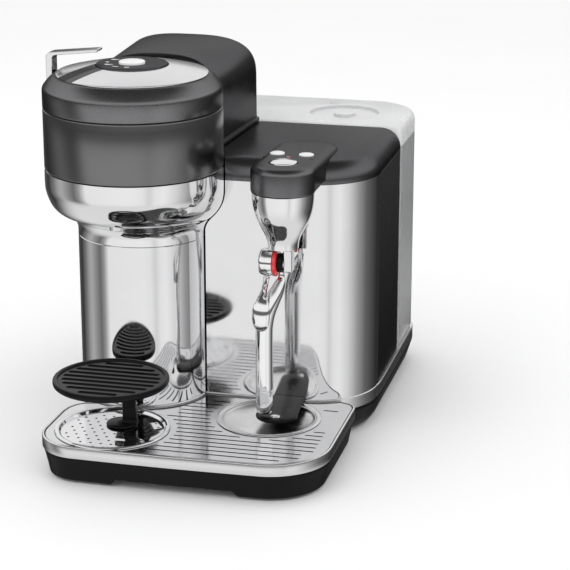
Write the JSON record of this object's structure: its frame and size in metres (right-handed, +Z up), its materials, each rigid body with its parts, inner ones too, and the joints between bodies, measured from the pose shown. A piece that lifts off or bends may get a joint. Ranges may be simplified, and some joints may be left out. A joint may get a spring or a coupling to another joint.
{
  "type": "pod coffee machine",
  "caption": "Pod coffee machine: polished round column under a lidded brew head, steam wand with a red cap, drip tray with grid and dish, and a clear rear water tank.",
  "frame": {"origin": "middle of the bounding box at the bottom of the feet", "axes": "+Z up, -Y towards the user at the front, +Y along the longest side, +X to the user's right, the shortest side"},
  "size_m": [0.254, 0.3858, 0.3148],
  "materials": {
    "polished_steel": "polished",
    "brushed_steel": "brushed",
    "dark_brushed_steel": "brushed",
    "dark_metal": "satin",
    "black_plastic": "satin",
    "grey_plastic": "matte",
    "tank_plastic": "clear grey",
    "tank_lid_plastic": "satin",
    "rubber": "matte",
    "cast_aluminium": "cast",
    "red_gloss": "gloss",
    "board": "satin"
  },
  "bodies": {
    "chassis": {"base_pan": "black_plastic", "base_band": "brushed_steel", "foot_front_left": "rubber", "foot_front_right": "rubber", "foot_rear_left": "rubber", "foot_rear_right": "rubber", "cord_gland": "rubber", "column_tube": "polished_steel", "brew_bowl": "polished_steel", "coffee_outlet": "black_plastic", "head_band": "dark_brushed_steel", "brew_chamber": "grey_plastic", "rotor_bearing": "brushed_steel", "brew_motor": "grey_plastic", "hinge_housing": "dark_metal", "hinge_pin": "brushed_steel", "front_panel": "polished_steel", "side_panel_right": "black_plastic", "side_panel_left": "dark_metal", "rear_panel": "grey_plastic", "top_cover": "dark_metal", "pump": "brushed_steel", "thermoblock": "cast_aluminium", "steam_boiler": "brushed_steel", "control_board": "board", "flow_meter": "grey_plastic", "steam_head_cap": "dark_metal", "steam_head_bowl": "polished_steel", "wand_fork": "polished_steel", "sensor_tongue": "black_plastic", "temperature_sensor": "polished_steel", "valve_seat": "rubber"},
    "rotor": {"spindle": "brushed_steel", "capsule_holder": "grey_plastic"},
    "lid": {"lid_cap": "dark_metal", "lid_disc": "polished_steel", "control_panel": "black_plastic", "lever_pin": "brushed_steel"},
    "injector": {"piercing_plate": "grey_plastic"},
    "brew_button": {"brew_button": "polished_steel"},
    "lever": {"lid_lever": "polished_steel"},
    "container": {"container_hood": "dark_metal", "capsule_container": "grey_plastic"},
    "tank": {"water_tank": "tank_plastic", "tank_valve": "rubber"},
    "tank_lid": {"tank_lid": "tank_lid_plastic"},
    "steam_button_large": {"steam_button_large": "polished_steel"},
    "steam_button_left": {"steam_button_left": "polished_steel"},
    "steam_button_right": {"steam_button_right": "polished_steel"},
    "wand": {"wand_barrel": "polished_steel", "wand_disc": "red_gloss", "wand_tube": "polished_steel", "wand_grip": "polished_steel"},
    "tray": {"tray_shell": "black_plastic", "tray_rim": "brushed_steel", "drip_grid": "polished_steel", "cup_plate": "polished_steel", "steam_dish": "polished_steel"},
    "cup_support": {"cup_support": "black_plastic", "support_stem": "black_plastic"}
  },
  "joints": [
    {"name": "lid_hinge", "type": "hinge", "parent": "chassis", "child": "lid", "pos_m": [-0.057, -0.0101, 0.2915], "axis": [-1, 0, 0], "range_deg": [0, 50]},
    {"name": "lever_hinge", "type": "hinge", "parent": "lid", "child": "lever", "pos_m": [-0.123, -0.0696, 0.288], "axis": [0, -1, 0], "range_deg": [0, 40]},
    {"name": "brew_button_press", "type": "slide", "parent": "lid", "child": "brew_button", "axis": [0, 0, -1], "range_m": [0, 0.0015], "stiffness_N_per_m": 400, "springref_m": -0.002},
    {"name": "injector_spin", "type": "hinge", "parent": "lid", "child": "injector", "pos_m": [-0.057, -0.0736, 0.27], "axis": [0, 0, 1], "continuous": true},
    {"name": "rotor_spin", "type": "hinge", "parent": "chassis", "child": "rotor", "pos_m": [-0.057, -0.0736, 0.235], "axis": [0, 0, 1], "continuous": true},
    {"name": "container_lift", "type": "slide", "parent": "chassis", "child": "container", "axis": [0, 0, 1], "range_m": [0, 0.15]},
    {"name": "tank_lift", "type": "slide", "parent": "chassis", "child": "tank", "axis": [0, 0, 1], "range_m": [0, 0.2]},
    {"name": "tank_lid_lift", "type": "slide", "parent": "tank", "child": "tank_lid", "axis": [0, 0, 1], "range_m": [0, 0.08]},
    {"name": "steam_button_large_press", "type": "slide", "parent": "chassis", "child": "steam_button_large", "axis": [0, 0, -1], "range_m": [0, 0.0012], "stiffness_N_per_m": 400, "springref_m": -0.002},
    {"name": "steam_button_left_press", "type": "slide", "parent": "chassis", "child": "steam_button_left", "axis": [0, 0, -1], "range_m": [0, 0.0012], "stiffness_N_per_m": 400, "springref_m": -0.002},
    {"name": "steam_button_right_press", "type": "slide", "parent": "chassis", "child": "steam_button_right", "axis": [0, 0, -1], "range_m": [0, 0.0012], "stiffness_N_per_m": 400, "springref_m": -0.002},
    {"name": "wand_swing", "type": "hinge", "parent": "chassis", "child": "wand", "pos_m": [0.063, -0.0886, 0.1575], "axis": [-1, 0, 0], "range_deg": [0, 40]},
    {"name": "tray_slide", "type": "slide", "parent": "chassis", "child": "tray", "axis": [0, -1, 0], "range_m": [0, 0.13]},
    {"name": "cup_support_lift", "type": "slide", "parent": "tray", "child": "cup_support", "axis": [0, 0, 1], "range_m": [0, 0.06]}
  ],
  "couplings": [
    {"joint": "injector_spin", "follows": "rotor_spin", "ratio": 1}
  ]
}
